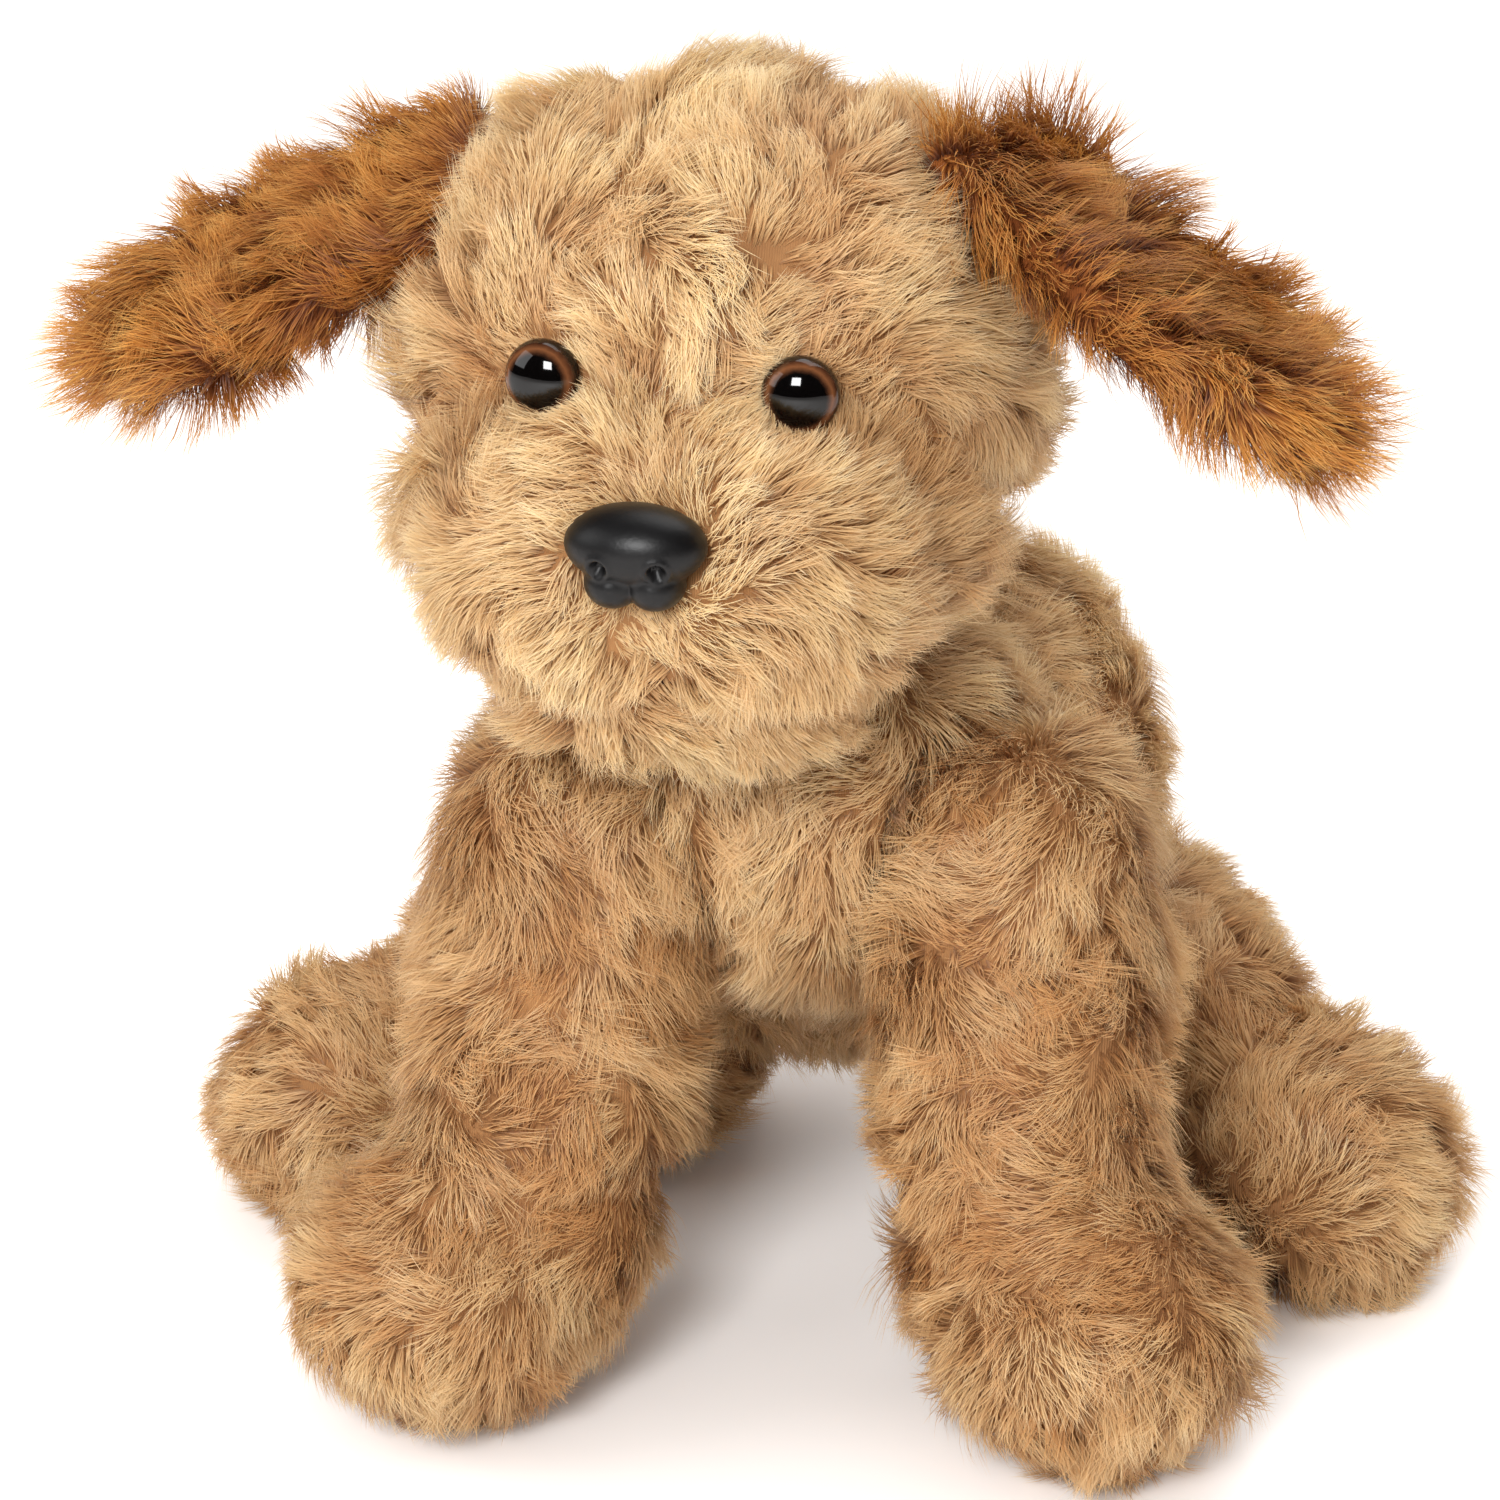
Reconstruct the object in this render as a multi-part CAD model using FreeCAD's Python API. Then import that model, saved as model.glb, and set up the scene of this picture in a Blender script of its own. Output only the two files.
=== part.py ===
import FreeCAD, Part
import math
import os

# A plush dog in long-pile fabric, on its four paws. Millimetres, +Z up, the dog faces -Y and its left is +X.
# The origin is on the ground, below the middle of the whole toy.
# Every fur-fabric surface stands where a hand feels the pile, so the skins are thick.

V = FreeCAD.Vector
X_AXIS = V(1, 0, 0)
Z_AXIS = V(0, 0, 1)
LEFT = 1
RIGHT = -1
SIDES = {"left": LEFT, "right": RIGHT}

# Clearances and thicknesses
SKIN = 7.0  # backing cloth with its pile pressed down
RUNNING_GAP = 0.5  # between bodies that move against each other
GAP_STEP = 0.6  # keeps the surfaces of nested cutting tools apart
SPAN = 700.0  # larger than the toy, for cutting tools

# Torso: three overlapping round masses on a slanted spine. A size is half the length along X, and the radius.
CHEST_CENTRE = V(-3, -18, 118)
CHEST_SIZE = (50, 43)
MIDDLE_CENTRE = V(0, 30, 100)
MIDDLE_SIZE = (66, 54)
RUMP_CENTRE = V(0, 52, 82)
RUMP_SIZE = (62, 51)
BIB_FRONT = -38.0  # the chest panel's side seams cross Y here, low on the chest
BIB_LEAN = 0.45  # how far the seams' plane leans back for each step down
BELLY_SEAM_HEIGHT = 52.0
POUCH_CENTRE = V(0, 56, 64)
POUCH_SIZE = (26.0, 18.0)

# Neck: a ball of stuffing that the head turns and nods on
NECK_PIVOT = V(-7, -14, 164)
NECK_RADIUS = 27.0
NOD_RANGE = (-10, 6)  # degrees up and down
HEAD_CLEARANCE = 7.0  # round the muzzle's section, for nodding
NAPE_CLEARANCE = 3.0

# Head, in its own frame: origin at the middle of the cranium
HEAD_CENTRE = V(-14.5, -33, 212)
HEAD_YAW = -3.0
CRANIUM_SIZE = (61.5, 53.5)
MUZZLE_CENTRE = V(0, -44, -28)
MUZZLE_SIZE = (47, 35)
CHEEK_CENTRE = V(21, -20, -18)
CHEEK_RADIUS = 36.0
GUSSET_HALF_WIDTH = 20.0
MUZZLE_SEAM = V(0, -38, -2)
MUZZLE_SEAM_TILT = 52.0  # degrees that the seam's plane leans back from upright
CHIN_SEAM_HEIGHT = -45.0

# Face
EYE_RADIUS = 7.3
EYE_PLACE = V(23.5, 0, 8)
EYE_OUT = 3.6  # the eye's rim in front of the cranium's surface
EYE_DOME = 4.2
EYE_AHEAD = 1.2  # how strongly the eyes are turned from square to the skin to straight ahead
PUPIL_RADIUS = 4.1
RIM_THICKNESS = 1.6
SHANK_RADIUS = 2.5
SHANK_LENGTH = 15.0
WASHER_RADIUS = 8.0
WASHER_THICKNESS = 1.8
WASHER_FROM_TIP = 3.0
NOSE_SIZE = (12.2, 8.4)
NOSE_PLACE = V(0, -80, -13)
NOSE_LOBE_RADIUS = 5.4
NOSE_LOBE_PLACE = V(3.8, -1.2, -5.4)  # from the nose's middle
NOSE_SHANK_LENGTH = 22.0
NOSTRIL_RADIUS = 2.1
NOSTRIL_PLACE = V(5.6, -7.5, -2.2)  # from the nose's middle
THREAD_RADIUS = 0.8
MOUTH_HEIGHT = -41.0
MOUTH_HALF_SWEEP = 16.0  # degrees each way from the middle

# Ears, each in its own frame: origin on the hinge, flap along +X, thickness along Z
EAR_LENGTH = 88.0
EAR_WIDTH = 46.0
EAR_ROOT_WIDTH = 40.0
EAR_THICKNESS = 14.0
EAR_ROOT_RADIUS = 7.8
EAR_ROOT_LIP = 0.6  # the root's ends stand this far outside the flap
EAR_PLACE = {LEFT: V(52, 1, 38), RIGHT: V(-52, 1, 31)}
EAR_DROOP = {LEFT: 24.0, RIGHT: 28.0}  # degrees below level
EAR_TWIST = {LEFT: -6.0, RIGHT: 28.0}  # degrees that the front edge hangs down
EAR_SWEEP = {LEFT: 31.0, RIGHT: 1.0}  # degrees forwards
EAR_RANGE = (-15, 25)  # degrees up and down

# Front legs
SHOULDER = V(42, -38, 112)
ANKLE = V(50, -63, 42)
SHOULDER_RADIUS = 27.5
ANKLE_RADIUS = 26.0
PAW_CENTRE = V(62.5, -70, 28)
PAW_SIZE = (37, 30)
PAW_YAW = 20.0  # degrees outwards
PAW_SEAM_HEIGHT = 48.0
SOLE_HEIGHT = 9.0
FRONT_FORWARD = 24  # degrees of swing
FRONT_BACK = 8

# Hind legs
HIP = V(54, 52, 36.5)
HOCK = V(86, 27, 29)
HIP_RADIUS = 38.0
HOCK_RADIUS = 26.0
FOOT_CENTRE = V(103, 11, 24.5)
FOOT_SIZE = (30, 26)
HIND_FORWARD = 16
HIND_BACK = 8

# Tail
TAIL_ROOT = V(0, 96, 76)
TAIL_TIP = V(0, 117, 106)
TAIL_ROOT_RADIUS = 13.0
TAIL_TIP_RADIUS = 10.0
TAIL_WAG = 25


def mirrored(point, side):
    """A point of the dog's left side, or its mirror image on the right."""
    return V(point.x * side, point.y, point.z)


def ball(centre, radius):
    return Part.makeSphere(radius, centre)


def beyond(point, normal):
    """Everything on the side of a plane that its normal points to."""
    block = Part.makeBox(SPAN, SPAN, SPAN, V(-SPAN / 2, -SPAN / 2, 0))
    block.Placement = FreeCAD.Placement(point, FreeCAD.Rotation(Z_AXIS, normal))
    return block


def fused(solids):
    return solids[0].multiFuse(solids[1:]).removeSplitter()


def tapered(start, end, start_radius, end_radius):
    """A round limb between two points: two balls and the cone that touches both, turned as one."""
    run = end - start
    length = run.Length
    slope = math.asin((start_radius - end_radius) / length)
    pole = math.pi / 2

    def spot(height, radius, angle):
        return V(math.cos(angle) * radius, 0, height + math.sin(angle) * radius)

    foot, foot_edge = spot(0, start_radius, -pole), spot(0, start_radius, slope)
    top_edge, top = spot(length, end_radius, slope), spot(length, end_radius, pole)
    foot_arc = Part.Arc(foot, spot(0, start_radius, (slope - pole) / 2), foot_edge)
    side = Part.LineSegment(foot_edge, top_edge)
    top_arc = Part.Arc(top_edge, spot(length, end_radius, (slope + pole) / 2), top)
    core = Part.LineSegment(top, foot)
    outline = Part.Wire([curve.toShape() for curve in (foot_arc, side, top_arc, core)])
    solid = Part.Face(outline).revolve(V(0, 0, 0), Z_AXIS, 360)
    solid.Placement = FreeCAD.Placement(start, FreeCAD.Rotation(Z_AXIS, run))
    return solid


def egg(centre, size, inset=0.0, along=X_AXIS):
    """A long round mass: half its length and its radius, less an inset all over."""
    half_length, radius = size
    end = V(along).normalize() * (half_length - radius)
    return tapered(centre - end, centre + end, radius - inset, radius - inset)


def turned(solid, pivot, axis, degrees):
    copy = solid.copy()
    copy.rotate(pivot, axis, degrees)
    return copy


def swept(start, end, start_radius, end_radius, axis, swing):
    """The room that a tapered limb needs to swing about its start, with the running gap round it."""
    rooms = []
    for step, angle in enumerate(swing):
        gap = RUNNING_GAP + step * GAP_STEP
        limb = tapered(start, end, start_radius + gap, end_radius + gap)
        rooms.append(turned(limb, start, axis, angle))
    gap = RUNNING_GAP + len(swing) * GAP_STEP
    wide = start_radius + gap
    narrow = end_radius + gap
    corners = [start - axis * wide, start + axis * wide, end + axis * narrow, end - axis * narrow]
    blade = Part.Face(Part.makePolygon(corners + corners[:1]))
    low, high = swing
    blade.rotate(start, axis, low)
    rooms.append(blade.revolve(start, axis, high - low))
    return rooms


def swing_axis(start, end, reference):
    """The direction square to a limb that lies closest to the reference."""
    along = (end - start).normalize()
    return (reference - along * reference.dot(along)).normalize()


def without(solid, tools):
    for tool in tools:
        solid = solid.cut(tool)
    return solid


def largest(shape):
    """The main solid of a cut, without the crumbs."""
    return max(shape.Solids, key=lambda solid: solid.Volume)


# Front legs


def front_leg_axis(side):
    return swing_axis(mirrored(SHOULDER, side), mirrored(ANKLE, side), X_AXIS)


def front_leg_form(side, inset):
    yaw = math.radians(PAW_YAW) * side
    forward = V(math.sin(yaw), -math.cos(yaw), 0)
    paw = egg(mirrored(PAW_CENTRE, side), PAW_SIZE, inset, forward)
    limb = tapered(
        mirrored(SHOULDER, side),
        mirrored(ANKLE, side),
        SHOULDER_RADIUS - inset,
        ANKLE_RADIUS - inset,
    )
    return fused([limb, paw]).common(beyond(V(0, 0, inset), Z_AXIS))


def front_leg_room(side):
    return swept(
        mirrored(SHOULDER, side),
        mirrored(ANKLE, side),
        SHOULDER_RADIUS,
        ANKLE_RADIUS,
        front_leg_axis(side),
        (-FRONT_FORWARD, FRONT_BACK),
    )


def front_leg(name, side):
    fill = front_leg_form(side, SKIN)
    skin = front_leg_form(side, 0).cut(fill)
    seam = mirrored(SHOULDER, side)
    along = (mirrored(ANKLE, side) - seam).normalize()
    outward = along.cross(V(0, 1, 0)).normalize()
    if outward.x * side < 0:
        outward = outward * -1
    above = beyond(V(0, 0, PAW_SEAM_HEIGHT), Z_AXIS)
    sole_cut = beyond(V(0, 0, SOLE_HEIGHT), Z_AXIS)
    upper = skin.common(above)
    lower = skin.cut(above)
    return {
        f"front_leg_{name}_outer_panel": largest(upper.common(beyond(seam, outward))),
        f"front_leg_{name}_inner_panel": largest(upper.cut(beyond(seam, outward))),
        f"front_paw_{name}_top_panel": largest(lower.common(sole_cut)),
        f"front_paw_{name}_sole_panel": largest(lower.cut(sole_cut)),
        f"front_leg_{name}_fill": largest(fill),
    }


# Hind legs


def hind_leg_axis(side):
    return swing_axis(mirrored(HIP, side), mirrored(HOCK, side), Z_AXIS)


def hind_leg_form(side, inset):
    foot = egg(mirrored(FOOT_CENTRE, side), FOOT_SIZE, inset, mirrored(FOOT_CENTRE - HIP, side))
    limb = tapered(
        mirrored(HIP, side),
        mirrored(HOCK, side),
        HIP_RADIUS - inset,
        HOCK_RADIUS - inset,
    )
    return fused([limb, foot]).common(beyond(V(0, 0, inset), Z_AXIS))


def hind_leg_room(side):
    # A positive turn about the upright axis carries the left foot back and the right foot forward.
    swing = (-HIND_FORWARD, HIND_BACK) if side == LEFT else (-HIND_BACK, HIND_FORWARD)
    return swept(
        mirrored(HIP, side),
        mirrored(HOCK, side),
        HIP_RADIUS,
        HOCK_RADIUS,
        hind_leg_axis(side),
        swing,
    )


def hind_leg(name, side):
    fill = hind_leg_form(side, SKIN)
    skin = hind_leg_form(side, 0).cut(fill)
    hip = mirrored(HIP, side)
    hock = mirrored(HOCK, side)
    foot_side = beyond(hock, (hock - hip).normalize())
    above = beyond(V(0, 0, HOCK.z), Z_AXIS)
    thigh = skin.cut(foot_side)
    return {
        f"hind_leg_{name}_upper_panel": largest(thigh.common(above)),
        f"hind_leg_{name}_lower_panel": largest(thigh.cut(above)),
        f"hind_foot_{name}_panel": largest(skin.common(foot_side)),
        f"hind_leg_{name}_fill": largest(fill),
    }


# Tail


def tail_form(inset):
    return tapered(TAIL_ROOT, TAIL_TIP, TAIL_ROOT_RADIUS - inset, TAIL_TIP_RADIUS - inset)


def tail_axis():
    return swing_axis(TAIL_ROOT, TAIL_TIP, Z_AXIS)


def tail_room():
    return swept(
        TAIL_ROOT,
        TAIL_TIP,
        TAIL_ROOT_RADIUS,
        TAIL_TIP_RADIUS,
        tail_axis(),
        (-TAIL_WAG, TAIL_WAG),
    )


def tail():
    fill = tail_form(SKIN)
    skin = tail_form(0).cut(fill)
    upper = beyond(TAIL_ROOT, tail_axis())
    return {
        "tail_upper_panel": largest(skin.common(upper)),
        "tail_lower_panel": largest(skin.cut(upper)),
        "tail_fill": largest(fill),
    }


# Neck


def neck():
    return {"neck_fill": ball(NECK_PIVOT, NECK_RADIUS)}


def neck_room():
    return ball(NECK_PIVOT, NECK_RADIUS + RUNNING_GAP)


def head_room(head_place):
    """The room above the torso that the turning, nodding head needs."""
    chin = head_place.multVec(MUZZLE_CENTRE)
    reach = math.hypot(chin.x - NECK_PIVOT.x, chin.y - NECK_PIVOT.y)
    section = MUZZLE_SIZE[1] + HEAD_CLEARANCE
    start = NECK_PIVOT + V(-reach, 0, chin.z - NECK_PIVOT.z)
    circle = Part.Face(Part.Wire(Part.makeCircle(section, start, V(0, 1, 0))))
    rooms = [circle.revolve(NECK_PIVOT, Z_AXIS, 180)]
    cranium = egg(V(0, 0, 0), CRANIUM_SIZE, -NAPE_CLEARANCE)
    cranium.Placement = head_place.multiply(cranium.Placement)
    for nod in NOD_RANGE:
        rooms.append(turned(cranium, NECK_PIVOT, X_AXIS, nod))
    return rooms


# Torso


def torso_form(inset):
    masses = [
        egg(CHEST_CENTRE, CHEST_SIZE, inset),
        egg(MIDDLE_CENTRE, MIDDLE_SIZE, inset),
        egg(RUMP_CENTRE, RUMP_SIZE, inset),
    ]
    return fused(masses)


def torso(head_place):
    rooms = [neck_room()] + head_room(head_place) + tail_room()
    for side in SIDES.values():
        rooms += front_leg_room(side) + hind_leg_room(side)
    pouch = egg(POUCH_CENTRE, POUCH_SIZE, 0.0, V(0, 1, 0))
    inner = torso_form(SKIN)
    skin = without(torso_form(0).cut(inner), rooms)
    fill = without(inner, rooms)
    chest = beyond(V(0, BIB_FRONT, 0), V(0, -1, BIB_LEAN).normalize())
    belly = beyond(V(0, 0, BELLY_SEAM_HEIGHT), Z_AXIS * -1)
    left_half = beyond(V(0, 0, 0), X_AXIS)
    back = skin.cut(chest).cut(belly)
    return {
        "chest_panel": largest(skin.common(chest).cut(belly)),
        "belly_panel": largest(skin.common(belly)),
        "back_left_panel": largest(back.common(left_half)),
        "back_right_panel": largest(back.cut(left_half)),
        "torso_fill": largest(fill.cut(pouch)),
        "pellet_pouch": pouch,
    }


# Ears


def ear_outline(grow):
    """The flap seen square on: narrow at the root, widest past the middle, round at the tip."""
    half_root = EAR_ROOT_WIDTH / 2 + grow
    half_wide = EAR_WIDTH / 2 + grow
    top = Part.BSplineCurve()
    top.interpolate(
        [
            V(0, half_root, 0),
            V(EAR_LENGTH * 0.55, half_wide, 0),
            V(EAR_LENGTH * 0.9, half_wide * 0.62, 0),
            V(EAR_LENGTH + grow, 0, 0),
            V(EAR_LENGTH * 0.9, -half_wide * 0.62, 0),
            V(EAR_LENGTH * 0.55, -half_wide, 0),
            V(0, -half_root, 0),
        ]
    )
    root = Part.makeLine(V(0, -half_root, 0), V(0, half_root, 0))
    return Part.Face(Part.Wire([top.toShape(), root]))


def ear_form():
    """A flat padded flap with a round root that lies along its hinge."""
    flap = ear_outline(0).extrude(V(0, 0, EAR_THICKNESS))
    flap.translate(V(0, 0, -EAR_THICKNESS / 2))
    root_end = V(0, -EAR_ROOT_WIDTH / 2 - EAR_ROOT_LIP, 0)
    root_width = EAR_ROOT_WIDTH + 2 * EAR_ROOT_LIP
    root = Part.makeCylinder(EAR_ROOT_RADIUS, root_width, root_end, V(0, 1, 0))
    return fused([flap, root])


def ear_placement(side):
    """From an ear's own frame to the head's frame, for the dog's left ear or right ear."""
    spread = FreeCAD.Rotation(V(0, 0, 1), 0 if side == LEFT else 180)
    droop = FreeCAD.Rotation(V(0, 1, 0), EAR_DROOP[side] * side)
    sweep = FreeCAD.Rotation(V(0, 0, 1), -EAR_SWEEP[side] * side)
    twist = FreeCAD.Rotation(V(1, 0, 0), EAR_TWIST[side] * side)
    turn = sweep.multiply(droop).multiply(spread).multiply(twist)
    return FreeCAD.Placement(EAR_PLACE[side], turn)


def ear_room():
    """The room that an ear needs to flop, in its own frame."""
    half = EAR_THICKNESS / 2 + RUNNING_GAP
    width = EAR_WIDTH + 2 * RUNNING_GAP
    slab = Part.makeBox(EAR_LENGTH, width, 2 * half, V(0, -width / 2, -half))
    root_width = EAR_ROOT_WIDTH + 2 * (EAR_ROOT_LIP + RUNNING_GAP)
    root_radius = EAR_ROOT_RADIUS + RUNNING_GAP
    barrel = Part.makeCylinder(root_radius, root_width, V(0, -root_width / 2, 0), V(0, 1, 0))
    blade = Part.Face(
        Part.makePolygon(
            [
                V(0, -width / 2, 0),
                V(EAR_LENGTH, -width / 2, 0),
                V(EAR_LENGTH, width / 2, 0),
                V(0, width / 2, 0),
                V(0, -width / 2, 0),
            ]
        )
    )
    pivot = V(0, 0, 0)
    hinge = V(0, 1, 0)
    low, high = EAR_RANGE
    blade.rotate(pivot, hinge, low)
    sector = blade.revolve(pivot, hinge, high - low)
    return [barrel, turned(slab, pivot, hinge, low), turned(slab, pivot, hinge, high), sector]


def ear(name, side, place):
    form = ear_form()
    upper = form.common(beyond(V(0, 0, 0), Z_AXIS))
    lower = form.cut(beyond(V(0, 0, 0), Z_AXIS))
    panels = {f"ear_{name}_upper_panel": upper, f"ear_{name}_lower_panel": lower}
    for panel in panels.values():
        panel.Placement = place.multiply(ear_placement(side)).multiply(panel.Placement)
    return panels


# Head


def head_form(inset):
    masses = [
        egg(V(0, 0, 0), CRANIUM_SIZE, inset),
        egg(MUZZLE_CENTRE, MUZZLE_SIZE, inset),
    ]
    for side in SIDES.values():
        masses.append(ball(mirrored(CHEEK_CENTRE, side), CHEEK_RADIUS - inset))
    return fused(masses)


def eye_parts(side):
    """A moulded eye: clear dome over the iris, black pupil on its shank, and the washer inside."""
    x, z = EYE_PLACE.x, EYE_PLACE.z
    half_width, radius = CRANIUM_SIZE
    depth = math.sqrt(1 - (x / half_width) ** 2 - (z / radius) ** 2)
    surface = V(x * side, -radius * depth, z)
    steep = V(surface.x / half_width**2, surface.y / radius**2, z / radius**2).normalize()
    forward = (steep - V(0, EYE_AHEAD, 0)).normalize()
    sphere_radius = (EYE_RADIUS**2 + EYE_DOME**2) / (2 * EYE_DOME)
    dome = Part.makeSphere(sphere_radius, V(0, 0, EYE_DOME - sphere_radius))
    dome = dome.common(Part.makeCylinder(EYE_RADIUS, EYE_DOME))
    rim = Part.makeCylinder(EYE_RADIUS, RIM_THICKNESS, V(0, 0, -RIM_THICKNESS))
    pupil_disc = Part.makeCylinder(PUPIL_RADIUS, RIM_THICKNESS, V(0, 0, -RIM_THICKNESS / 2))
    shank = Part.makeCylinder(SHANK_RADIUS, SHANK_LENGTH, V(0, 0, -SHANK_LENGTH))
    pupil = fused([pupil_disc, shank])
    lens = fused([dome, rim]).cut(pupil)
    washer = Part.makeCylinder(WASHER_RADIUS, WASHER_THICKNESS, V(0, 0, WASHER_FROM_TIP - SHANK_LENGTH))
    washer = washer.cut(shank)
    place = FreeCAD.Placement(surface + steep * EYE_OUT, FreeCAD.Rotation(Z_AXIS, forward))
    parts = [lens, pupil, washer]
    for part in parts:
        part.Placement = place.multiply(part.Placement)
    return parts


def nose_parts():
    """A moulded nose with two nostrils and a two-lobed lower edge, and its washer."""
    body = egg(NOSE_PLACE, NOSE_SIZE)
    lobes = []
    for side in SIDES.values():
        lobes.append(ball(NOSE_PLACE + mirrored(NOSE_LOBE_PLACE, side), NOSE_LOBE_RADIUS))
    shank = Part.makeCylinder(SHANK_RADIUS, NOSE_SHANK_LENGTH, NOSE_PLACE, V(0, 1, 0))
    nose = fused([body] + lobes + [shank])
    for side in SIDES.values():
        nose = nose.cut(ball(NOSE_PLACE + mirrored(NOSTRIL_PLACE, side), NOSTRIL_RADIUS))
    seat = NOSE_PLACE + V(0, NOSE_SHANK_LENGTH - WASHER_FROM_TIP, 0)
    washer = Part.makeCylinder(WASHER_RADIUS, WASHER_THICKNESS, seat, V(0, 1, 0))
    return nose, washer.cut(shank)


def mouth_thread():
    """A black thread laid along the front of the muzzle, below the nose."""
    drop = MOUTH_HEIGHT - MUZZLE_CENTRE.z
    half_width, radius = MUZZLE_SIZE
    shrink = math.sqrt(1 - (drop / radius) ** 2)
    middle = V(0, MUZZLE_CENTRE.y, MOUTH_HEIGHT)
    curve = Part.Ellipse(middle, half_width * shrink, radius * shrink)
    front = math.radians(270)
    sweep = math.radians(MOUTH_HALF_SWEEP)
    path = curve.toShape(front - sweep, front + sweep)
    start = path.valueAt(path.FirstParameter)
    heading = path.tangentAt(path.FirstParameter)
    ring = Part.Wire(Part.makeCircle(THREAD_RADIUS, start, heading))
    return Part.Wire(path).makePipeShell([ring], True, True)


def head(place):
    rooms = []
    for side in SIDES.values():
        for tool in ear_room():
            tool.Placement = ear_placement(side).multiply(tool.Placement)
            rooms.append(tool)
    ball_room = neck_room()
    ball_room.Placement = place.inverse().multiply(ball_room.Placement)
    rooms.append(ball_room)
    hardware = {}
    for name, side in SIDES.items():
        lens, pupil, washer = eye_parts(side)
        hardware[f"eye_{name}_lens"] = lens
        hardware[f"eye_{name}_pupil"] = pupil
        hardware[f"eye_{name}_washer"] = washer
    hardware["nose"], hardware["nose_washer"] = nose_parts()
    hardware["mouth_thread"] = mouth_thread()
    inner = head_form(SKIN)
    tools = rooms + list(hardware.values())
    skin = without(head_form(0).cut(inner), tools)
    fill = without(inner, tools)
    tilt = math.radians(MUZZLE_SEAM_TILT)
    muzzle_side = beyond(MUZZLE_SEAM, V(0, -math.cos(tilt), -math.sin(tilt)))
    chin_side = beyond(V(0, 0, CHIN_SEAM_HEIGHT), Z_AXIS * -1)
    left_half = beyond(V(0, 0, 0), X_AXIS)
    left_side = beyond(V(GUSSET_HALF_WIDTH, 0, 0), X_AXIS)
    right_side = beyond(V(-GUSSET_HALF_WIDTH, 0, 0), X_AXIS * -1)
    muzzle = skin.common(muzzle_side).cut(chin_side)
    chin = skin.common(muzzle_side).common(chin_side)
    rear = skin.cut(muzzle_side)
    nodes = {
        "muzzle_left_panel": largest(muzzle.common(left_half)),
        "muzzle_right_panel": largest(muzzle.cut(left_half)),
        "chin_panel": largest(chin),
        "head_left_panel": largest(rear.common(left_side)),
        "head_right_panel": largest(rear.common(right_side)),
        "head_gusset": largest(rear.cut(left_side).cut(right_side)),
        "head_fill": largest(fill),
    }
    nodes.update(hardware)
    for solid in nodes.values():
        solid.Placement = place.multiply(solid.Placement)
    return nodes


def whole_dog():
    head_place = FreeCAD.Placement(HEAD_CENTRE, FreeCAD.Rotation(Z_AXIS, HEAD_YAW))
    nodes = {}
    nodes.update(torso(head_place))
    nodes.update(neck())
    nodes.update(head(head_place))
    nodes.update(tail())
    for name, side in SIDES.items():
        nodes.update(ear(name, side, head_place))
        nodes.update(front_leg(name, side))
        nodes.update(hind_leg(name, side))
    return nodes


def centred(nodes):
    """Slides the whole dog over the floor until the origin is below the middle of its box."""
    box = Part.makeCompound(list(nodes.values())).optimalBoundingBox(False, False)
    shift = V(-box.Center.x, -box.Center.y, 0)
    for solid in nodes.values():
        solid.translate(shift)
    return shift


def main():
    nodes = whole_dog()
    shift = centred(nodes)
    os.makedirs("parts", exist_ok=True)
    for name, solid in nodes.items():
        solid.exportStep(f"parts/{name}.step")
    print("shift of the origin", shift)
    print(len(nodes), "nodes")


main()
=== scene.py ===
import math

import bpy
import numpy as np
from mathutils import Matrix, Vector
from mathutils.kdtree import KDTree


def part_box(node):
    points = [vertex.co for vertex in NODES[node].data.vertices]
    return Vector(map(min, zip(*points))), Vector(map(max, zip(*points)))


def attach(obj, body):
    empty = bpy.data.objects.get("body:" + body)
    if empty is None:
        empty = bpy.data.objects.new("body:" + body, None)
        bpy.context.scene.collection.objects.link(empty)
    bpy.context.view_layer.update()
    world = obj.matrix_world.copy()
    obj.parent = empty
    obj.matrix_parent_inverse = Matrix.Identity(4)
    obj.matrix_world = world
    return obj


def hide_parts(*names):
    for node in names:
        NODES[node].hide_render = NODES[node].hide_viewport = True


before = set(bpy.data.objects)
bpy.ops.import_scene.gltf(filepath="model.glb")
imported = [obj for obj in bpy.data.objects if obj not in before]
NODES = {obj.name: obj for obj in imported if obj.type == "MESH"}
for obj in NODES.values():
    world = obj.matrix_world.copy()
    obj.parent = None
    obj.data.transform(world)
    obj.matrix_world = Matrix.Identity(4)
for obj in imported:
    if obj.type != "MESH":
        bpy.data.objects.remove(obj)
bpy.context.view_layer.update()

MM = 0.001

# The skins, in millimetres.
SKIN_INSET = 1.2
VOXEL = 3.5
SWELL = 1.5  # the furthest that the fill pushes the cloth out
SEAM_DEPTH = 2.2  # how far the thread pulls the skin in
SEAM_SAMPLES = 2500  # points on each panel from which its seams are found
SEAM_REACH = (1.0, 9.0)  # where beside a seam the pull begins to fade and has faded
LOWEST_SKIN = 0.8
CLOTH_FRAMES = 12
CLOTH_PRESSURE = 4.0
SKIN_SMOOTHING = 6  # rounds

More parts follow.
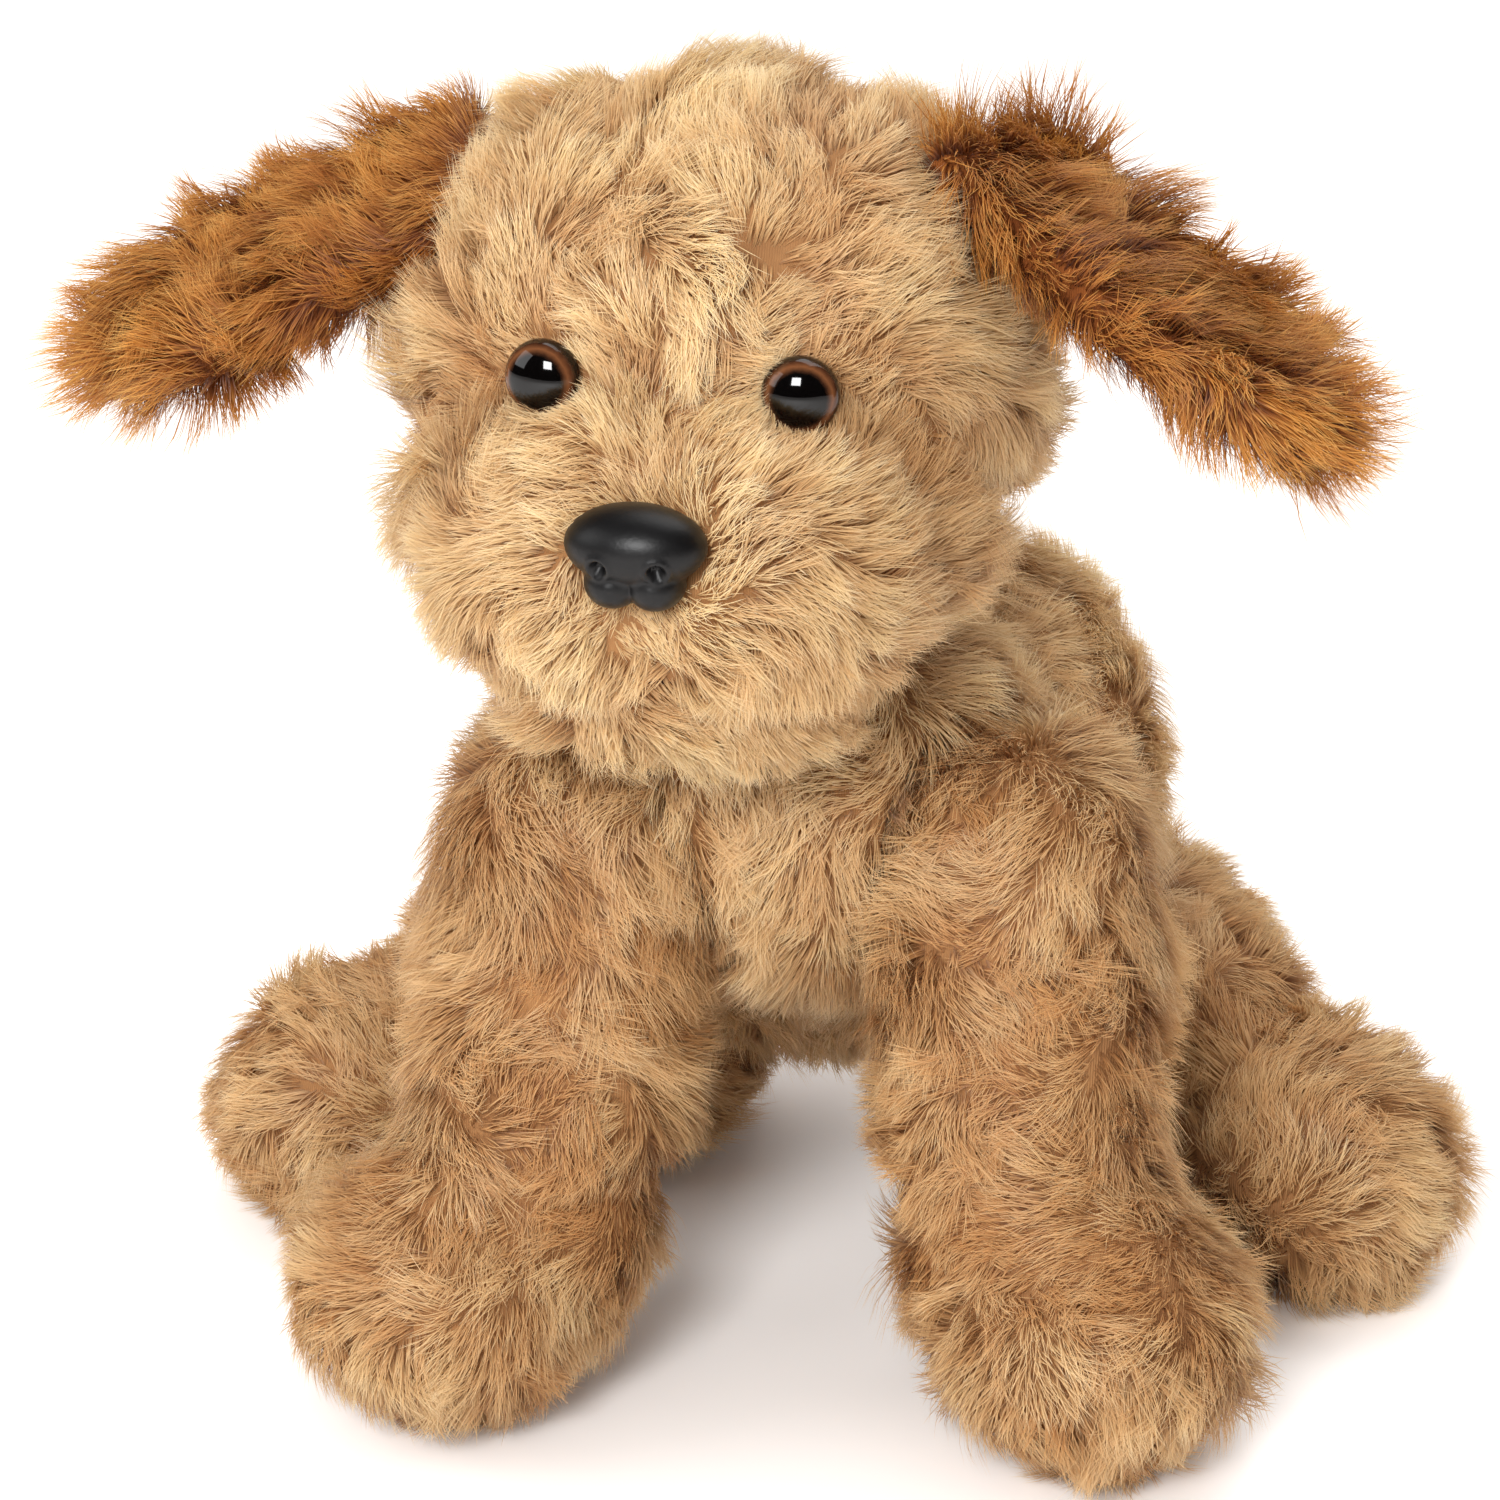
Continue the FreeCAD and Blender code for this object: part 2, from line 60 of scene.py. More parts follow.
# The pile, in millimetres unless it says otherwise.
PILE_LENGTH = 13.5
STRAND_WIDTH = 0.19
ROOT_DEPTH = 0.6  # how far a fibre starts below the skin
DENSITY = 2.3  # fibres on a square millimetre
UNDERCOAT = 0.3  # share of the fibres that are short and broad
UNDERCOAT_LENGTH, UNDERCOAT_WIDTH = 0.5, 2.2  # against the other fibres
LEVELS = 4  # points along a fibre
WISP_SPACING = 2.4
TUFT_SPACING = 10.0
PATCH_SPACING = 24.0
CREASE_REACH = (1.0, 6.0)  # where beside a seam the pile lies deepest and is back to normal
BORDER_WIDTH, PATCH_BORDER = 3.5, 6.0  # of the gaps round a tuft and round a patch
WISP_GATHER, TUFT_GATHER = (0.05, 0.4), 0.22  # how far tips lean to the middle of their wisp and their tuft
TAPER, TAPER_POWER = 0.6, 2.5  # share of its width that a fibre loses by its tip, and how late
SHADED_BY = (0.65, 0.5, 0.2)  # shares of the skin's normal, the ribbon's face and its heading in its shading
ROUNDED = 0.2  # how round a ribbon is shaded across its width
TRANSLUCENCY = 0.5  # share of the light that goes through a fibre
NEVER_FLAT = 0.001  # keeps a combed direction from standing exactly upright on the skin

# How far patches, tufts, wisps and fibres turn, in radians.
PATCH_TURN, SWIRL_TURN, RIPPLE_TURN, TUFT_TURN, WISP_TURN, FIBRE_TURN = 0.75, 0.55, 0.22, 0.38, 0.10, 0.07
FIBRE_CURL, FIBRE_ROLL = 0.25, 0.3
# How far their tone, their length and their lift (in degrees) differ, and what borders and seams take off; the
# tone taken off round tufts and along seams is painted shade.
TUFT_TONE, WISP_TONE, FIBRE_TONE, WAVE_TONE = 0.10, 0.05, 0.05, 0.10
BORDER_SHADE, CREASE_SHADE, UNDERCOAT_TONE = 0.17, 0.25, 0.12
TUFT_SIZE, WISP_SIZE, WAVE_SIZE, BORDER_SIZE, CREASE_SIZE = 0.06, 0.05, 0.08, 0.14, 0.25
TUFT_LIFT, WISP_LIFT, WAVE_LIFT, CREASE_LIFT, PATCH_LIFT = 7, 3.0, 5, 10, 8
UNDERCOAT_LIFT = (12, 25)  # degrees that it stands steeper at the root and at the tip

# The face, in millimetres.
EYE_RADIUS = 7.3
EYE_CLEAR = 0.68  # share of an eye's radius that no fibre crosses
EYE_SUNK = 3.6  # how far the dome's rim lies behind the middle of the lens
NOSE_FACE = 8.0  # from the tip of the nose back to the middle of its rounded part
NOSE_CLEAR = (13.0, 9.6, 9.4)  # half sizes of the room that no fibre enters
NOSE_VOXEL = 0.42
NOSE_SMOOTHING = 7  # rounds
NOSTRIL_X, NOSTRIL_Z = 5.4, -0.6  # from the middle of the nose
THREAD_SUNK = 4.8

# Where the long coats are cut into pieces, in millimetres.
ANKLE_HEIGHT = 62
THIGH_FRONT = 28
HEAD_CUT = 6  # ahead of the middle of the head


# ---------------------------------------------------------------- small helpers
def unit(v):
    return v / np.maximum(np.linalg.norm(v, axis=-1, keepdims=True), 1e-12)


def smoothstep(x, low, high):
    t = np.clip((x - low) / (high - low), 0, 1)
    return t * t * (3 - 2 * t)


def middle(node):
    low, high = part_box(node)
    return np.array(low) / 2 + np.array(high) / 2


def waves(points, size, seed):
    """A smooth random field of about unit strength whose bumps are about size across."""
    rng = np.random.default_rng(seed)
    count = 14
    k = unit(rng.normal(size=(count, 3))) * (2 * math.pi / (2 * size)) * rng.uniform(0.6, 1.5, (count, 1))
    return np.sin(points @ k.T + rng.uniform(0, 2 * math.pi, count)).sum(1) / math.sqrt(count / 2)


def nearest(points, centres):
    """For each point, the index of the nearest centre, and the distances to the nearest two."""
    tree = KDTree(len(centres))
    for i, c in enumerate(centres):
        tree.insert(c, i)
    tree.balance()
    found = [tree.find_n(p, 2) for p in points]
    index = np.array([f[0][1] for f in found])
    return index, np.array([[f[0][2], f[1][2]] for f in found])


NO_QUADS = np.empty((0, 4), int)


def new_mesh(name, points, faces_of_3, faces_of_4=NO_QUADS):
    mesh = bpy.data.meshes.new(name)
    loops = np.concatenate([faces_of_4.ravel(), faces_of_3.ravel()]).astype(np.int32)
    sizes = np.concatenate([np.full(len(faces_of_4), 4), np.full(len(faces_of_3), 3)]).astype(np.int32)
    mesh.vertices.add(len(points))
    mesh.vertices.foreach_set("co", points.astype(np.float32).ravel())
    mesh.loops.add(len(loops))
    mesh.loops.foreach_set("vertex_index", loops)
    mesh.polygons.add(len(sizes))
    mesh.polygons.foreach_set("loop_start", np.concatenate([[0], np.cumsum(sizes)[:-1]]).astype(np.int32))
    mesh.update(calc_edges=True)
    return mesh


def new_object(name, mesh, material):
    thing = bpy.data.objects.new(name, mesh)
    bpy.context.scene.collection.objects.link(thing)
    mesh.materials.clear()
    mesh.materials.append(material)
    mesh.polygons.foreach_set("use_smooth", np.ones(len(mesh.polygons), bool))
    return thing


def modified(thing):
    """Applies the object's modifiers."""
    bpy.context.view_layer.update()
    graph = bpy.context.evaluated_depsgraph_get()
    mesh = bpy.data.meshes.new_from_object(thing.evaluated_get(graph))
    thing.modifiers.clear()
    old, thing.data = thing.data, mesh
    bpy.data.meshes.remove(old)


def arrays(mesh):
    points = np.empty(len(mesh.vertices) * 3, np.float32)
    mesh.vertices.foreach_get("co", points)
    normals = np.empty(len(mesh.vertices) * 3, np.float32)
    mesh.vertex_normals.foreach_get("vector", normals)
    mesh.calc_loop_triangles()
    triangles = np.empty(len(mesh.loop_triangles) * 3, np.int32)
    mesh.loop_triangles.foreach_get("vertices", triangles)
    return points.reshape(-1, 3).astype(float), normals.reshape(-1, 3).astype(float), triangles.reshape(-1, 3)


# ---------------------------------------------------------------- materials
def material(name, roughness=0.6, specular=0.5, coat=0.0, sheen=0.0):
    mat = bpy.data.materials.new(name)
    mat.use_nodes = True
    shader = mat.node_tree.nodes["Principled BSDF"]
    shader.inputs["Roughness"].default_value = roughness
    shader.inputs["Specular IOR Level"].default_value = specular
    shader.inputs["Coat Weight"].default_value = coat
    shader.inputs["Coat Roughness"].default_value = 0.03
    shader.inputs["Sheen Weight"].default_value = sheen
    return mat, mat.node_tree, shader


def node(tree, kind, **values):
    made = tree.nodes.new(kind)
    for key, value in values.items():
        if key in made.inputs:
            made.inputs[key].default_value = value
        else:
            setattr(made, key, value)
    return made


def colour(r, g, b):
    """An sRGB colour of 0 to 255 as linear light."""
    return tuple(
        (c / 255 / 12.92 if c / 255 <= 0.04045 else ((c / 255 + 0.055) / 1.055) ** 2.4) for c in (r, g, b)
    ) + (1.0,)


def ramp(tree, stops):
    made = tree.nodes.new("ShaderNodeValToRGB")
    elements = made.color_ramp.elements
    while len(elements) < len(stops):
        elements.new(0.5)
    for element, (place, rgb) in zip(elements, stops):
        element.position = place
        element.color = colour(*rgb)
    return made


def pile_material(name, shaded, lit):
    """Pile coloured from root to tip by the map's V, with the root darkened as painted shade and the tip
    lightened as a painted glow, and from its darker to its lighter fibres by its U, where the tone also
    carries painted light and shade.
    """
    mat, tree, shader = material(name, roughness=0.46, specular=0.4, sheen=0.12)
    shader.inputs["Sheen Roughness"].default_value = 0.5
    place = node(tree, "ShaderNodeUVMap", uv_map="OFBake")
    split = tree.nodes.new("ShaderNodeSeparateXYZ")
    tree.links.new(place.outputs["UV"], split.inputs[0])
    dark, light = ramp(tree, shaded), ramp(tree, lit)
    tree.links.new(split.outputs["Y"], dark.inputs[0])
    tree.links.new(split.outputs["Y"], light.inputs[0])
    mix = node(tree, "ShaderNodeMix", data_type="RGBA")
    tree.links.new(split.outputs["X"], mix.inputs["Factor"])
    tree.links.new(dark.outputs["Color"], mix.inputs[6])
    tree.links.new(light.outputs["Color"], mix.inputs[7])
    tree.links.new(mix.outputs[2], shader.inputs["Base Color"])
    through = tree.nodes.new("ShaderNodeBsdfTranslucent")
    tree.links.new(mix.outputs[2], through.inputs["Color"])
    both = tree.nodes.new("ShaderNodeMixShader")
    both.inputs[0].default_value = TRANSLUCENCY
    tree.links.new(shader.outputs[0], both.inputs[1])
    tree.links.new(through.outputs[0], both.inputs[2])
    tree.links.new(both.outputs[0], tree.nodes["Material Output"].inputs["Surface"])
    return mat


def cloth_material(name, dark, light):
    """The knitted backing that the pile stands on."""
    mat, tree, shader = material(name, roughness=0.9, specular=0.1)
    place = tree.nodes.new("ShaderNodeTexCoord")
    knit = node(tree, "ShaderNodeTexWave", Scale=700.0, Distortion=2.0, Detail=2.0)
    blotch = node(tree, "ShaderNodeTexNoise", Scale=90.0, Detail=4.0)
    tint = ramp(tree, [(0.3, dark), (0.7, light)])
    bump = node(tree, "ShaderNodeBump", Strength=0.4, Distance=0.0003)
    tree.links.new(place.outputs["Object"], knit.inputs["Vector"])
    tree.links.new(place.outputs["Object"], blotch.inputs["Vector"])
    tree.links.new(blotch.outputs["Fac"], tint.inputs[0])
    tree.links.new(tint.outputs["Color"], shader.inputs["Base Color"])
    tree.links.new(knit.outputs["Fac"], bump.inputs["Height"])
    tree.links.new(bump.outputs["Normal"], shader.inputs["Normal"])
    return mat


def moulded_material(name, dark, light, roughness, grain, coat=0.0):
    """Moulded plastic with a fine grain and slightly uneven colour."""
    mat, tree, shader = material(name, roughness=roughness, specular=0.3, coat=coat)
    place = tree.nodes.new("ShaderNodeTexCoord")
    speckle = node(tree, "ShaderNodeTexNoise", Scale=1500.0, Detail=3.0)
    blotch = node(tree, "ShaderNodeTexNoise", Scale=120.0, Detail=3.0)
    tint = ramp(tree, [(0.35, dark), (0.65, light)])
    gloss = node(tree, "ShaderNodeMapRange")
    gloss.inputs["To Min"].default_value = roughness * 0.85
    gloss.inputs["To Max"].default_value = roughness * 1.15
    bump = node(tree, "ShaderNodeBump", Strength=grain, Distance=0.0001)
    tree.links.new(place.outputs["Object"], speckle.inputs["Vector"])
    tree.links.new(place.outputs["Object"], blotch.inputs["Vector"])
    tree.links.new(blotch.outputs["Fac"], tint.inputs[0])
    tree.links.new(blotch.outputs["Fac"], gloss.inputs["Value"])
    tree.links.new(gloss.outputs["Result"], shader.inputs["Roughness"])
    tree.links.new(tint.outputs["Color"], shader.inputs["Base Color"])
    tree.links.new(speckle.outputs["Fac"], bump.inputs["Height"])
    tree.links.new(bump.outputs["Normal"], shader.inputs["Normal"])
    return mat


def eye_material(centre, axis, radius):
    """Black pupil, brown ring with fine spokes, dark edge, under clear gloss."""
    side = "left" if centre[0] > 0 else "right"
    mat, tree, shader = material(f"eye_{side}", roughness=0.06, specular=0.4)
    place = tree.nodes.new("ShaderNodeTexCoord")
    from_centre = node(tree, "ShaderNodeVectorMath", operation="SUBTRACT")
    from_centre.inputs[1].default_value = tuple(centre)
    cross = node(tree, "ShaderNodeVectorMath", operation="CROSS_PRODUCT")
    cross.inputs[1].default_value = tuple(axis)
    length = node(tree, "ShaderNodeVectorMath", operation="LENGTH")
    share = node(tree, "ShaderNodeMath", operation="DIVIDE")
    share.inputs[1].default_value = radius
    spokes = node(tree, "ShaderNodeTexNoise", Scale=900.0, Detail=2.0)
    wobble = node(tree, "ShaderNodeMath", operation="MULTIPLY_ADD")
    wobble.inputs[1].default_value = 0.06
    rings = ramp(
        tree,
        [
            (0.0, (4, 3, 3)),
            (0.70, (5, 4, 4)),
            (0.76, (44, 25, 15)),
            (0.86, (98, 60, 36)),
            (0.94, (64, 36, 21)),
            (1.0, (18, 11, 8)),
        ],
    )
    tree.links.new(place.outputs["Object"], from_centre.inputs[0])
    tree.links.new(from_centre.outputs[0], cross.inputs[0])
    tree.links.new(cross.outputs[0], length.inputs[0])
    tree.links.new(length.outputs["Value"], share.inputs[0])
    tree.links.new(place.outputs["Object"], spokes.inputs["Vector"])
    tree.links.new(spokes.outputs["Fac"], wobble.inputs[0])
    tree.links.new(share.outputs[0], wobble.inputs[2])
    tree.links.new(wobble.outputs[0], rings.inputs[0])
    tree.links.new(rings.outputs["Color"], shader.inputs["Base Color"])
    return mat


# Each ramp runs from the root, darkened as painted shade deep in the pile, to the tip, lightened as a painted
# glow; the first is for the darker fibres and the second for the lighter.
TAN_PILE = pile_material(
    "tan_pile",
    [(0.0, (120, 76, 43)), (0.3, (171, 118, 69)), (0.7, (207, 157, 99)), (1.0, (229, 188, 131))],
    [(0.0, (174, 129, 82)), (0.3, (219, 183, 130)), (0.7, (244, 220, 170)), (1.0, (252, 240, 206))],
)
RUST_PILE = pile_material(
    "rust_pile",
    [(0.0, (72, 34, 13)), (0.3, (118, 60, 21)), (0.7, (170, 103, 39)), (1.0, (220, 154, 73))],
    [(0.0, (122, 64, 23)), (0.3, (178, 106, 39)), (0.7, (231, 168, 78)), (1.0, (255, 221, 138))],
)
TAN_CLOTH = cloth_material("tan_backing", (128, 90, 58), (156, 114, 74))
RUST_CLOTH = cloth_material("rust_backing", (100, 54, 24), (130, 74, 34))
NOSE_PLASTIC = moulded_material("nose_plastic", (7, 6, 7), (12, 11, 12), 0.41, 0.3)
WASHER_PLASTIC = moulded_material("washer_plastic", (210, 208, 200), (226, 224, 218), 0.45, 0.2)
THREAD = cloth_material("black_thread", (46, 28, 20), (74, 48, 34))


# ---------------------------------------------------------------- skins
def joined(names):
    points, faces, count = [], [], 0
    for name in names:
        mesh = NODES[name].data
        p, _, t = arrays(mesh)
        points.append(p)
        faces.append(t + count)
        count += len(p)
    return np.concatenate(points), np.concatenate(faces)


def largest_island(thing):
    """Keeps the outer surface and drops what the remesh left inside it."""
    p, _, t = arrays(thing.data)
    label = np.arange(len(p))
    while True:
        low = label[t].min(1)
        before = label.copy()
        for corner in range(3):
            np.minimum.at(label, t[:, corner], low)
        label = label[label]
        if (label == before).all():
            break
    names, sizes = np.unique(label, return_counts=True)
    keep = label == names[sizes.argmax()]
    if not keep.all():
        index = np.cumsum(keep) - 1
        mesh = new_mesh(thing.data.name, p[keep], index[t[keep[t].all(1)]])
        old, thing.data = thing.data, mesh
        bpy.data.meshes.remove(old)


def inflated(thing, cap):
    """Lets the cloth swell a little under the pressure of its fill, and moves no point further than cap."""
    before, _, _ = arrays(thing.data)
    cloth = thing.modifiers.new("Cloth", "CLOTH")
    cloth.settings.use_pressure = True
    cloth.settings.uniform_pressure_force = CLOTH_PRESSURE
    cloth.settings.effector_weights.gravity = 0.0
    cloth.settings.quality = 4
    cloth.point_cache.frame_start = 1
    cloth.point_cache.frame_end = CLOTH_FRAMES
    scene = bpy.context.scene
    for step in range(1, CLOTH_FRAMES + 1):
        scene.frame_set(step)
    modified(thing)
    scene.frame_set(1)
    after, _, _ = arrays(thing.data)
    move = after - before
    size = np.linalg.norm(move, axis=1, keepdims=True)
    move *= np.minimum(1, cap / np.maximum(size, 1e-9))
    thing.data.vertices.foreach_set("co", (before + move).astype(np.float32).ravel())
    thing.data.update()


def skin(name, body, names, cloth, inset=SKIN_INSET, swell=SWELL, panels=None,
         seam_depth=SEAM_DEPTH):
    """The padded skin of one body, which stands for all the cloth and fill of that body."""
    points, faces = joined(names)
    mesh = new_mesh(name, points, faces)
    thing = new_object(name, mesh, cloth)
    remesh = thing.modifiers.new("Remesh", "REMESH")
    remesh.mode = "VOXEL"
    remesh.voxel_size = VOXEL * MM
    modified(thing)
    largest_island(thing)
    smooth = thing.modifiers.new("Smooth", "SMOOTH")
    smooth.factor, smooth.iterations = 0.5, SKIN_SMOOTHING
    modified(thing)
    p, n, _ = arrays(thing.data)
    thing.data.vertices.foreach_set("co", (p - n * inset * MM).astype(np.float32).ravel())
    thing.data.update()
    if swell:
        inflated(thing, swell * MM)
    thing.data.materials.clear()
    thing.data.materials.append(cloth)
    p, n, _ = arrays(thing.data)
    if panels is not None:
        pull = 1 - smoothstep(seam_gap(p, panels, 5) / MM, *SEAM_REACH)
        p -= n * (pull * seam_depth * MM)[:, None]
    p[:, 2] = np.maximum(p[:, 2], LOWEST_SKIN * MM)
    thing.data.vertices.foreach_set("co", p.astype(np.float32).ravel())
    thing.data.polygons.foreach_set("use_smooth", np.ones(len(thing.data.polygons), bool))
    thing.data.update()
    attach(thing, body)
    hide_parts(*names)
    return thing


# ---------------------------------------------------------------- pile
EYES = []
for side in ("left", "right"):
    lens, washer = middle(f"eye_{side}_lens"), middle(f"eye_{side}_washer")
    EYES.append((lens, unit(lens - washer)))
NOSE_LOW, NOSE_HIGH = (np.array(c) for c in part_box("nose"))
NOSE_FRONT = (NOSE_LOW + NOSE_HIGH) / 2
NOSE_FRONT[1] = NOSE_LOW[1] + NOSE_FACE * MM


def areas(corners):
    """The area of each triangle, given its three corners."""
    a, b, c = corners.transpose(1, 0, 2)
    return np.linalg.norm(np.cross(b - a, c - a), axis=1) / 2


def area_of(mesh):
    p, _, t = arrays(mesh)
    return areas(p[t]).sum()


def scattered(mesh, count, rng):
    """Even random points over a mesh with their smooth normals."""
    p, n, t = arrays(mesh)
    corners = p[t]
    area = areas(corners)
    total = np.cumsum(area)
    where = (np.arange(count) + rng.random(count)) / count * total[-1]
    which = np.minimum(np.searchsorted(total, where), len(t) - 1)
    a, b = rng.random((2, count))
    over = a + b > 1
    a[over], b[over] = 1 - a[over], 1 - b[over]
    weights = np.stack([1 - a - b, a, b], 1)[:, :, None]
    return (corners[which] * weights).sum(1), unit((n[t[which]] * weights).sum(1))


def turned_about(v, axis, angle):
    """Each v turned about its own unit axis by its own angle."""
    c, s = np.cos(angle)[:, None], np.sin(angle)[:, None]
    return v * c + np.cross(axis, v) * s + axis * (v * axis).sum(1, keepdims=True) * (1 - c)


def lay_of(points, normals, comb, seed, wander, patch_place, patch_turn):
    """How the pile lies, combed but in patches that swirl, and how far each point is inside its patch."""
    flat = comb(points, normals)
    flat = unit(flat - normals * (flat * normals).sum(1, keepdims=True))
    owner, distance = nearest(points, patch_place)
    turn = wander * (PATCH_TURN * patch_turn[owner] + SWIRL_TURN * waves(points, 15 * MM, seed + 1))
    turn += RIPPLE_TURN * waves(points, 4 * MM, seed + 2)
    border = smoothstep(distance[:, 1] - distance[:, 0], 0.0, PATCH_BORDER * MM)
    return turned_about(flat, normals, turn), border


def seam_gap(points, panels, seed):
    """How far each point is from the nearest seam between two panels."""
    rng = np.random.default_rng(seed)
    gaps = []
    for names in panels:
        cloud = np.concatenate([scattered(NODES[n].data, SEAM_SAMPLES, rng)[0] for n in names])
        tree = KDTree(len(cloud))
        for i, c in enumerate(cloud):
            tree.insert(c, i)
        tree.balance()
        gaps.append([tree.find(p)[2] for p in points])
    gaps = np.sort(np.array(gaps), axis=0)
    return gaps[1] - gaps[0]


def coat(name, body, base, comb, tone, pile, slot, seed, density=DENSITY, length=PILE_LENGTH, wander=1.1,
         length_at=None, lift=(58, 14), lift_at=None, trim=None, split=None, panels=None):
    """A coat of pile on a skin: ribbons that bend from their root to lie along the skin.

    comb gives the way the pile lies, tone how light it is, and length_at how long it is against the usual.
    lift is how steep its fibres are at the root and at the tip, and lift_at how much steeper, in degrees. trim
    shortens fibres and drops some of them, and split cuts the coat into pieces.
    """
    rng = np.random.default_rng(seed)
    area = area_of(base.data) / MM**2
    count = int(area * density * (1.0))
    root, normal = scattered(base.data, count, rng)

    patch_count = max(4, int(area / PATCH_SPACING**2))
    patch_place, _ = scattered(base.data, patch_count, rng)
    patch_turn = rng.normal(size=patch_count)

    wisp_count = max(8, int(area / WISP_SPACING**2))
    wisp_root, wisp_normal = scattered(base.data, wisp_count, rng)
    wisp_lay, wisp_border = lay_of(wisp_root, wisp_normal, comb, seed, wander, patch_place, patch_turn)
    tuft_count = max(6, int(area / TUFT_SPACING**2))
    tuft_root, _ = scattered(base.data, tuft_count, rng)
    tuft, tuft_gap = nearest(wisp_root, tuft_root)
    inner = smoothstep(tuft_gap[:, 1] - tuft_gap[:, 0], 0.0, BORDER_WIDTH * MM)
    tuft_turn, tuft_tone, tuft_lift = rng.normal(size=(3, tuft_count))
    wisp_turn = TUFT_TURN * tuft_turn[tuft] + rng.normal(0, WISP_TURN, wisp_count)
    wisp_lay = turned_about(wisp_lay, wisp_normal, wisp_turn)
    # Wisps at the edge of a tuft are painted darker, as shade in the gaps between tufts.
    wisp_tone = TUFT_TONE * tuft_tone[tuft] + rng.normal(0, WISP_TONE, wisp_count) - BORDER_SHADE * (1 - inner)
    wisp_size = rng.normal(1, WISP_SIZE, wisp_count) + TUFT_SIZE * tuft_lift[tuft] - BORDER_SIZE * (1 - inner)
    wisp_lift = rng.normal(0, WISP_LIFT, wisp_count) + TUFT_LIFT * tuft_lift[tuft]
    wisp_lift += WAVE_LIFT * waves(wisp_root, 9 * MM, seed + 6)
    wisp_size += WAVE_SIZE * waves(wisp_root, 13 * MM, seed + 7)
    if lift_at is not None:
        wisp_lift += lift_at(wisp_root)
    if panels is not None:
        crease = 1 - smoothstep(seam_gap(wisp_root, panels, seed + 9) / MM, *CREASE_REACH)
        # The pile along a seam is painted darker, as shade in the crease.
        wisp_tone -= CREASE_SHADE * crease
        wisp_size *= 1 - CREASE_SIZE * crease
        wisp_lift -= CREASE_LIFT * crease
    owner, _ = nearest(root, wisp_root)

    lay = wisp_lay[owner]
    lay = unit(lay - normal * (lay * normal).sum(1, keepdims=True))
    lay = turned_about(lay, normal, rng.normal(0, FIBRE_TURN, count))
    border = wisp_border[owner]
    long = length * wisp_size[owner] * rng.uniform(0.9, 1.06, count) * MM
    if length_at is not None:
        long *= length_at(root)
    under = rng.random(count) < UNDERCOAT
    long *= np.where(under, UNDERCOAT_LENGTH, 1.0)
    curl = rng.normal(0, FIBRE_CURL, count)
    start = np.radians(lift[0] + wisp_lift[owner] + rng.normal(0, 7, count))
    end = np.radians(lift[1] + 0.6 * wisp_lift[owner] + rng.normal(0, 5, count) - PATCH_LIFT * (1 - border))
    start[under] += math.radians(UNDERCOAT_LIFT[0])
    end[under] += math.radians(UNDERCOAT_LIFT[1])
    lean = (wisp_root[owner] - root) * rng.uniform(*WISP_GATHER, count)[:, None]
    lean += (tuft_root[tuft] - wisp_root)[owner] * TUFT_GATHER

    steps = LEVELS - 1
    place = root - normal * ROOT_DEPTH * MM
    line = [place]
    heading = []
    for step in range(steps):
        t = (step + 0.5) / steps
        angle = start + (end - start) * t**0.75
        along = turned_about(lay, normal, curl * t)
        way = along * np.cos(angle)[:, None] + normal * np.sin(angle)[:, None]
        heading.append(way)
        place = place + way * (long / steps)[:, None]
        line.append(place)
    heading.append(heading[-1])
    line = np.stack(line, 1)
    heading = np.stack(heading, 1)
    share = np.linspace(0, 1, LEVELS)
    line += lean[:, None, :] * (share**1.4)[None, :, None]

    keep = np.ones(count, bool)
    if trim is not None:
        line, keep = trim(line)
    line, heading = line[keep], heading[keep]
    normal, under, border, owner, root = normal[keep], under[keep], border[keep], owner[keep], root[keep]
    count = len(line)

    # On the floor the pile is pressed flat.
    pressed = (0.3 + 1.2 * rng.random(count))[:, None] * MM
    line[:, :, 2] = np.maximum(line[:, :, 2], pressed)

    roll = rng.normal(0, FIBRE_ROLL, count)
    across = unit(np.cross(heading, normal[:, None, :]))
    up = np.cross(across, heading)
    across = across * np.cos(roll)[:, None, None] + up * np.sin(roll)[:, None, None]
    width = STRAND_WIDTH * np.where(under, UNDERCOAT_WIDTH, 1.0) * rng.uniform(0.75, 1.25, count)
    width = width[:, None] * (1 - TAPER * share**TAPER_POWER)[None, :] * MM
    left = line - across * width[:, :, None] / 2
    right = line + across * width[:, :, None] / 2

    points = np.concatenate([np.stack([left, right], 2)[:, :-1].reshape(count, -1, 3), line[:, -1:]], 1)
    face_way = unit(np.cross(across, heading))
    face_way *= np.sign((face_way * normal[:, None, :]).sum(2, keepdims=True))
    by_normal, by_face, by_heading = SHADED_BY
    soft = unit(by_normal * normal[:, None, :] + by_face * face_way + by_heading * heading)
    edges = np.stack([unit(soft + across * turn) for turn in (-ROUNDED, ROUNDED)], 2)
    shade = np.concatenate([edges[:, :-1].reshape(count, -1, 3), soft[:, -1:]], 1)
    per = 2 * steps + 1
    first = (np.arange(count) * per)[:, None]
    quads = np.concatenate([first + 2 * s + np.array([0, 1, 3, 2]) for s in range(steps - 1)])
    tips = first + np.array([per - 3, per - 2, per - 1])

    level = tone(root, normal) + wisp_tone[owner] + rng.normal(0, FIBRE_TONE, count)
    level += WAVE_TONE * waves(root, 9 * MM, seed + 5)
    # Fibres near a patch border are painted darker, as shade in the partings between patches.
    level = np.clip(level * (0.7 + 0.3 * border) - UNDERCOAT_TONE * under, 0.02, 0.98)
    v_share = np.repeat(share, 2)[:-1]
    uv = np.stack([np.repeat(level, per), np.tile(v_share, count)], 1)

